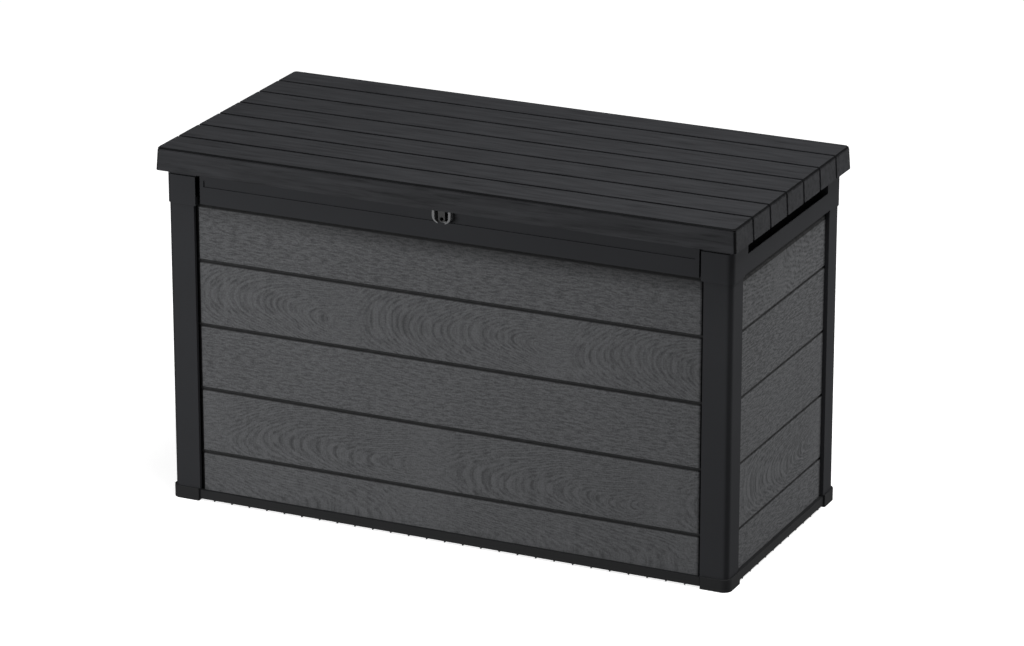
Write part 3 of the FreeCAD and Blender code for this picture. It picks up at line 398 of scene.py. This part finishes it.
def soften(name, width, segments=2):
    """Rounds a CAD node's sharp edges and evens its shading."""
    piece = NODES[name]
    weld = piece.modifiers.new("weld", "WELD")
    weld.merge_threshold = 0.01 * MM
    flatten = piece.modifiers.new("flatten", "DECIMATE")
    flatten.decimate_type = "DISSOLVE"
    flatten.angle_limit = math.radians(0.5)
    bevel = piece.modifiers.new("edges", "BEVEL")
    bevel.width = width
    bevel.segments = segments
    bevel.limit_method = "ANGLE"
    bevel.angle_limit = math.radians(38)
    bevel.miter_outer = "MITER_ARC"
    shading = piece.modifiers.new("shading", "WEIGHTED_NORMAL")
    shading.weight = 60
    for polygon in piece.data.polygons:
        polygon.use_smooth = True


EDGE_WIDTHS = {
    "lid_panel": 1.8 * MM,
    "post": 0.9 * MM,
    "foot": 1.0 * MM,
    "top_rail": 0.8 * MM,
    "base_tray": 0.5 * MM,
    "leaf": 0.5 * MM,
    "bracket": 0.4 * MM,
    "lock": 0.5 * MM,
    "lid_hasp": 0.5 * MM,
    "strut": 0.3 * MM,
    "screws": 0.25 * MM,
    "pin": 0.3 * MM,
    "pads": 0.8 * MM,
    "lid_liner": 0.4 * MM,
}


def edge_width(name):
    """The rounding for a node, by the first name part that fits."""
    for part in ("screws", "bracket", *EDGE_WIDTHS):
        if part in name:
            return EDGE_WIDTHS[part]
    return 0.3 * MM


# ---- Grained plank walls ----


def eased(value):
    """A share from 0 to 1 with soft ends."""
    value = np.clip(value, 0.0, 1.0)
    return value * value * (3.0 - 2.0 * value)


def wander(along, height, rng, size, waves=5):
    """Smooth unevenness made of a few slow waves, from about -1 to 1."""
    total = np.zeros(np.broadcast(along, height).shape)
    for _ in range(waves):
        across = rng.uniform(*WAVE_STRETCH) / size
        drift = rng.uniform(-1.0, 1.0) * WAVE_TILT / size
        start = rng.uniform(0, 6.28)
        total += np.sin(2 * math.pi * (along * across + height * drift) + start)
    return total / math.sqrt(waves)


def rings(along, height, half_height, figure, rng):
    """How many growth rings lie between the log's middle and each point of a plank, and
    how clearly they show: they fade out where one set of arches meets the next."""
    share = (figure["points"] * along / figure["length"] + rng.uniform(0.0, 1.0)) % 1.0
    depth = figure["depth"] * share
    drift = RING_DRIFT * half_height * wander(along, 0.0, rng, RING_DRIFT_SIZE)
    across = (height - figure["middle"] * half_height - drift) * figure["flat"]
    distance = np.sqrt(across**2 + depth**2)
    uneven = RING_UNEVEN * figure["pitch"] * wander(along, height, rng, RING_UNEVEN_SIZE)
    clear = eased(share / FADE_IN) * eased((1.0 - share) / FADE_OUT)
    return (distance + uneven) / figure["pitch"], figure["strength"] * clear


def levels(start, end, pitch):
    """Evenly spaced places between two ends, with both ends."""
    return np.linspace(start, end, max(2, math.ceil((end - start) / pitch) + 1))


def different_heights(points):
    """The heights of some points, each once, from the lowest up."""
    return sorted(set(np.round(points[:, 2].astype(float), 5)))


def ledge_rows(low, index):
    """A plank's lower edge, from the joint's floor out to the face."""
    near = ROUND_SHARE * EDGE_ROUNDING
    return [
        (low - 2 * LEDGE_STEP, JOINT_DEPTH, 0.0, LIP_SHADE, index),
        (low - LEDGE_STEP, 0.5 * JOINT_DEPTH, 0.0, LIP_SHADE, index),
        (low, EDGE_ROUNDING, 0.0, UNDER_EDGE_SHADE, index),
        (low + near, near, 0.0, ROUND_SHADE, index),
    ]


class Wall:
    """One wall panel's outer face, read from its CAD node."""

    def __init__(self, name):
        self.name = name
        self.out_axis, self.sign, self.seed, self.figures = WALLS[name]
        self.along_axis = 1 - self.out_axis
        points = np.array([v.co for v in NODES[name].data.vertices])
        out = points[:, self.out_axis] * self.sign
        self.face = out.max()
        self.back = out.min()
        self.low = points.min(0)
        self.high = points.max(0)
        along = points[:, self.along_axis]
        on_face = np.abs(out - self.face) < SAME_PLACE
        self.first, self.last = along[on_face].min(), along[on_face].max()
        self.start = self.first if self.sign < 0 else self.last
        at_end = np.abs(along - self.first) < SAME_PLACE
        self.edges = different_heights(points[at_end & on_face])
        floor = self.face - JOINT_DEPTH
        floors = different_heights(points[at_end & (np.abs(out - floor) < SAME_PLACE)])
        floors = [height for height in floors if height > self.edges[0] + SAME_PLACE]
        self.floors = floors if len(floors) % 2 == 0 else floors + [self.high[2]]

    def slope_rows(self, high, index, is_top):
        """A plank's sloping upper edge, and the joint's floor above it."""
        floor = self.floors[2 * index]
        floor_end = self.floors[2 * index + 1] - 3 * LEDGE_STEP
        # Painted shade: the top plank's joint floor, seen only through gaps, is drawn fully dark.
        floor_shade = LIP_SHADE if is_top else FLOOR_SHADE
        return [
            (high, SLOPE_START * JOINT_DEPTH, 0.0, SLOPE_START_SHADE, index),
            (0.5 * (high + floor), SLOPE_MIDDLE * JOINT_DEPTH, 0.0, LIP_SHADE, index),
            (floor, JOINT_DEPTH, 0.0, LIP_SHADE, index),
            (floor + EDGE_ROUNDING, JOINT_DEPTH, 0.0, floor_shade, index),
            (floor_end, JOINT_DEPTH, 0.0, floor_shade, index),
        ]

    def rows(self):
        """The outer face from bottom to top, and the planks' heights.

        Each row has its height, depth, relief share, joint shade and plank.
        """
        rows = []
        planks = list(zip(self.edges[::2], self.edges[1::2]))
        for index, (low, high) in enumerate(planks):
            if index:
                rows += ledge_rows(low, index)
            for height in levels(low + EDGE_ROUNDING, high - EDGE_ROUNDING, ROW_PITCH):
                rows.append((height, 0.0, 1.0, 0.0, index))
            rows += self.slope_rows(high, index, index == len(planks) - 1)
        rows[0] = (self.low[2],) + rows[0][1:]
        rows[-1] = (self.high[2],) + rows[-1][1:]
        return np.array(rows), planks

    def columns(self):
        """The outer face from end to end: place, and 1 for the sunk margins outside the planks."""
        along = levels(self.first, self.last, COLUMN_PITCH)
        buried = np.zeros(len(along))
        start, end = self.low[self.along_axis], self.high[self.along_axis]
        if self.first - start > SAME_PLACE:
            along = np.array([start, self.first - SAME_PLACE, *along, self.last + SAME_PLACE, end])
            buried = np.array([1.0, 1.0, *buried, 1.0, 1.0])
        return along, buried

    def top_shade(self, below, along):
        """Painted shade: a dark line at the top plank's upper edge, and on long walls a painted shadow that
        fades below it.
        """
        if self.out_axis == 0:
            return np.where(below < SIDE_TOP_LINE, LIP_SHADE, 0.0)
        line = np.where(below < TOP_LINE, LIP_SHADE, 0.0)
        share = np.abs(along - self.start) / (self.last - self.first)
        growth = TOP_SHADE_START + (1.0 - TOP_SHADE_START) * eased(share / TOP_SHADE_LENGTH)
        fade = np.clip(1.0 - below / TOP_FADE, 0.0, 1.0)
        return np.maximum(line, TOP_SHADE * fade * growth[None, :])

    def point(self, along, out, height):
        """A point of the row frame from the wall's own directions."""
        place = [0.0, 0.0, height]
        place[self.along_axis] = along
        place[self.out_axis] = out * self.sign
        return place


def ring_lines(phase):
    """A soft cut along each second growth ring, from 0 to 1."""
    return 0.5 + 0.5 * np.cos(math.pi * phase)


def plank_grain(wall, index, plank, half_height, heights, along):
    """The relief of one plank from 0 to 1, and its grain fields, over its rows and columns."""
    rng = np.random.default_rng(wall.seed + index)
    figure = wall.figures[index]
    height = heights[:, None] - 0.5 * (plank[0] + plank[1])
    phase, clear = rings(along[None, :], height, half_height, figure, rng)
    waves = figure["waves"] * wander(along[None, :], GRAIN_TILT * height, rng, GRAIN_WANDER)
    lay = height / GRAIN_PITCH + waves
    level = STRAIGHT_RELIEF * ring_lines(STRAIGHT_PITCH_SHARE * lay)
    relief = ring_lines(phase) * clear + level * (1.0 - clear)
    fields = {
        "ring": phase,
        "lay": lay,
        "along": along[None, :] + PLANK_SHIFT * index,
        "figure": clear,
        "bold": figure["bold"],
    }
    return relief, fields


def outer_face(wall):
    """The grid of points of the wall's outer face, with what its material reads."""
    rows, planks = wall.rows()
    heights, depths, shares, joints, owners = rows.T
    along, buried = wall.columns()
    fields = {name: np.zeros((len(rows), len(along))) for name in WALL_FIELDS}
    out = np.zeros((len(rows), len(along)))
    shown = np.clip(np.minimum(along - wall.first, wall.last - along) / END_FADE, 0.0, 1.0)
    half_height = 0.5 * (planks[1][1] - planks[1][0])
    for index, plank in enumerate(planks):
        chosen = owners == index
        relief, grain = plank_grain(wall, index, plank, half_height, heights[chosen], along)
        out[chosen] = -RELIEF * relief * shares[chosen, None] * shown[None, :]
        for name, values in grain.items():
            fields[name][chosen] = values
        # Painted shade in the joints and in the sunk margins outside the planks.
        fields["joint"][chosen] = np.maximum(joints[chosen, None], LIP_SHADE * buried[None, :])
    # Painted shadow: the top plank is drawn darker just under the rail.
    on_top = owners == len(planks) - 1
    top_shade = wall.top_shade(planks[-1][1] - heights[on_top, None], along)
    fields["joint"][on_top] = np.maximum(fields["joint"][on_top], top_shade)
    out += wall.face - np.maximum(depths[:, None], JOINT_DEPTH * buried[None, :])
    return heights, along, out, fields


def inner_side(wall):
    """The CAD panel without its outer face and rim: its ribbed inner side."""
    side = bmesh.new()
    side.from_mesh(NODES[wall.name].data)
    bmesh.ops.remove_doubles(side, verts=side.verts, dist=0.005 * MM)
    limits = [(wall.along_axis, wall.low), (wall.along_axis, wall.high), (2, wall.low), (2, wall.high)]
    doomed = []
    for face in side.faces:
        out = [vert.co[wall.out_axis] * wall.sign for vert in face.verts]
        facing_out = face.normal[wall.out_axis] * wall.sign > 0.1
        ledge = min(out) > wall.face - JOINT_DEPTH - SAME_PLACE and max(out) > wall.face - SAME_PLACE
        rim = any(
            all(abs(vert.co[axis] - corner[axis]) < SAME_PLACE for vert in face.verts)
            for axis, corner in limits
        )
        if facing_out or ledge or rim:
            doomed.append(face)
    bmesh.ops.delete(side, geom=doomed, context="FACES")
    return side


def corner_vert(shape, wall, along, height):
    """The vertex at a back corner of the panel."""
    goal = Vector(wall.point(along, wall.back, height))
    return min(shape.verts, key=lambda vert: (vert.co - goal).length)


def back_corners(shape, wall, heights, along):
    """The inner side's four corners, by the end and the top that they are at."""
    return {
        (end, top): corner_vert(shape, wall, along[end], heights[top]) for end in (0, -1) for top in (0, -1)
    }


def add_grid(shape, wall, layers, heights, along, out, fields):
    """The outer face as a grid of vertices that carry the fields, with its faces."""
    grid = []
    for row, height in enumerate(heights):
        line = []
        for column, place in enumerate(along):
            vert = shape.verts.new(wall.point(place, out[row, column], height))
            for key, layer in layers.items():
                vert[layer] = fields[key][row, column]
            line.append(vert)
        grid.append(line)
    for lower, upper in zip(grid, grid[1:]):
        for i in range(len(along) - 1):
            shape.faces.new((lower[i], lower[i + 1], upper[i + 1], upper[i]))
    return grid


def close_rim(shape, grid, corners):
    """Faces from the grid's four sides back to the corners of the inner side."""
    shape.faces.new([*grid[0], corners[-1, 0], corners[0, 0]])
    shape.faces.new([*grid[-1], corners[-1, -1], corners[0, -1]])
    for end in (0, -1):
        shape.faces.new([*[line[end] for line in grid], corners[end, -1], corners[end, 0]])
    bmesh.ops.recalc_face_normals(shape, faces=shape.faces)


def grained_panel(name, material):
    """A wall panel with its planks' grain in the outer face, in place of its CAD node."""
    wall = Wall(name)
    heights, along, out, fields = outer_face(wall)
    shape = inner_side(wall)
    layers = {key: shape.verts.layers.float.new(key) for key in fields}
    corners = back_corners(shape, wall, heights, along)
    grid = add_grid(shape, wall, layers, heights, along, out, fields)
    close_rim(shape, grid, corners)
    mesh = bpy.data.meshes.new("grained_" + name)
    shape.to_mesh(mesh)
    shape.free()
    mesh.shade_smooth()
    mesh.materials.append(material)
    panel = bpy.data.objects.new("grained_" + name, mesh)
    bpy.context.scene.collection.objects.link(panel)
    mesh.set_sharp_from_angle(angle=math.radians(SHARP_ANGLE))
    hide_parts(name)
    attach(panel, "body")


# ---- Studio ----

FLOOR_SIZE = 60.0
FLOOR_COLOUR = (0.86, 0.86, 0.86)
FLOOR_SEEN = 0.77
FLOOR_LIGHT = 0.2
FLOOR_BOUNCE = (0.05, 0.05, 0.05)
WORLD_SEEN = 1.0
WORLD_LIGHT = 0.14
# Softboxes: name, azimuth, elevation, distance, size and power.
LIGHTS = (
    ("left_softbox", -30.0, 6.0, 4.4, (2.6, 1.2), 90.0),
    ("right_softbox", 118.0, 1.0, 3.6, (2.4, 1.0), 39.0),
    ("top_softbox", 72.0, 74.0, 4.4, (2.6, 2.6), 160.0),
)
LIGHT_TARGET = (0.0, 0.0, 0.45)


def by_ray(shader, unseen, seen):
    """A value that is different for the camera and for light on the object."""
    camera_ray = shader.add("LightPath").outputs["Is Camera Ray"]
    return shader.spread(camera_ray, 0.0, 1.0, unseen, seen)


def make_floor():
    """A plain white floor that also lights the object softly from below."""
    bpy.ops.mesh.primitive_plane_add(size=FLOOR_SIZE, location=(0, 0, 0))
    floor = bpy.context.object
    floor.name = "studio_floor"
    shader = Shader("studio_floor", 0.9, Specular_IOR_Level=0.0)
    cloud = shader.noise(shader.place(), 0.6, 2.0)
    pale = shader.blend(cloud, shade(FLOOR_COLOUR, 0.99), shade(FLOOR_COLOUR, 1.01))
    shader.colour(shader.blend(by_ray(shader, 0.0, 1.0), shade(FLOOR_BOUNCE, 1.0), pale))
    shader.surface.inputs["Emission Color"].default_value = (1.0, 1.0, 1.0, 1.0)
    shader.feed(by_ray(shader, FLOOR_LIGHT, FLOOR_SEEN), shader.surface.inputs["Emission Strength"])
    floor.data.materials.append(shader.material)


def make_world():
    """White behind everything for the camera, and an even dim light on the object."""
    world = bpy.data.worlds.new("studio")
    bpy.context.scene.world = world
    world.use_nodes = True
    tree = world.node_tree
    background = tree.nodes["Background"]
    seen = tree.nodes.new("ShaderNodeLightPath").outputs["Is Camera Ray"]
    strength = tree.nodes.new("ShaderNodeMapRange")
    tree.links.new(seen, strength.inputs["Value"])
    strength.inputs["To Min"].default_value = WORLD_LIGHT
    strength.inputs["To Max"].default_value = WORLD_SEEN
    tree.links.new(strength.outputs[0], background.inputs["Strength"])
    background.inputs["Color"].default_value = (1.0, 1.0, 1.0, 1.0)


def direction(azimuth, elevation):
    """The direction away from the object; azimuth 0 is in front and 90 to the right."""
    turn, rise = math.radians(azimuth), math.radians(elevation)
    return Vector((math.sin(turn) * math.cos(rise), -math.cos(turn) * math.cos(rise), math.sin(rise)))


def make_light(name, azimuth, elevation, distance, size, power):
    """A softbox that faces the middle of the object."""
    back = direction(azimuth, elevation)
    data = bpy.data.lights.new(name, "AREA")
    data.shape = "RECTANGLE"
    data.size, data.size_y = size
    data.energy = power
    light = bpy.data.objects.new(name, data)
    light.location = Vector(LIGHT_TARGET) + back * distance
    light.visible_camera = False
    light.rotation_mode = "QUATERNION"
    light.rotation_quaternion = back.to_track_quat("Z", "Y")
    bpy.context.scene.collection.objects.link(light)


def make_lights():
    """Low softboxes to the front left and to the right, and one overhead."""
    for light in LIGHTS:
        make_light(*light)


def make_camera():
    """The camera, in the direction and at the distance that give the right perspective."""
    back = direction(CAMERA_AZIMUTH, CAMERA_ELEVATION)
    data = bpy.data.cameras.new("camera")
    data.lens = CAMERA_LENS
    data.sensor_width = SENSOR_WIDTH
    data.clip_end = 200.0
    camera = bpy.data.objects.new("camera", data)
    camera.location = CAMERA_PLACE
    camera.rotation_mode = "QUATERNION"
    camera.rotation_quaternion = back.to_track_quat("Z", "Y")
    bpy.context.scene.collection.objects.link(camera)
    bpy.context.scene.camera = camera


def make_studio():
    """Floor, light, camera and plain colour handling."""
    make_floor()
    make_world()
    make_lights()
    make_camera()
    bpy.context.scene.view_settings.view_transform = "Standard"


def main():
    """Dresses the frame and sets the studio."""
    materials = make_materials()
    dress(materials)
    for name in NODES:
        if name not in WALLS:
            soften(name, edge_width(name))
    for name in WALLS:
        grained_panel(name, materials["wall_plastic"])
    make_studio()


main()
